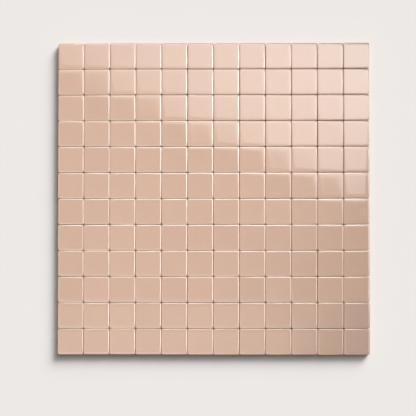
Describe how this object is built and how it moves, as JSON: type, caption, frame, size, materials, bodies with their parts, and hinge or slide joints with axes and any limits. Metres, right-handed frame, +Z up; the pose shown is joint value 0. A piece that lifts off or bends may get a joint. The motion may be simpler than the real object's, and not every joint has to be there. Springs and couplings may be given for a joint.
{
  "type": "mosaic tile sheet",
  "caption": "Square sheet of small square glazed tiles with cushion edges and tight joints, glued face up on an open backing net for bedding in adhesive.",
  "frame": {"origin": "middle of the sheet, on the floor under the backing net", "axes": "+Z up, out of the glazed faces; +X along the rows of tiles, to the right in the picture; +Y up the columns, to the top of the picture"},
  "size_m": [0.3, 0.3, 0.0064],
  "materials": {
    "tile_glaze": "glossy pale salmon-pink glaze on a fired body",
    "net_yarn": "coated glass yarn, off-white"
  },
  "bodies": {
    "root": {"tile_row_01": "tile_glaze", "tile_row_02": "tile_glaze", "tile_row_03": "tile_glaze", "tile_row_04": "tile_glaze", "tile_row_05": "tile_glaze", "tile_row_06": "tile_glaze", "tile_row_07": "tile_glaze", "tile_row_08": "tile_glaze", "tile_row_09": "tile_glaze", "tile_row_10": "tile_glaze", "tile_row_11": "tile_glaze", "tile_row_12": "tile_glaze", "net_weft": "net_yarn", "net_warp": "net_yarn"}
  },
  "joints": []
}
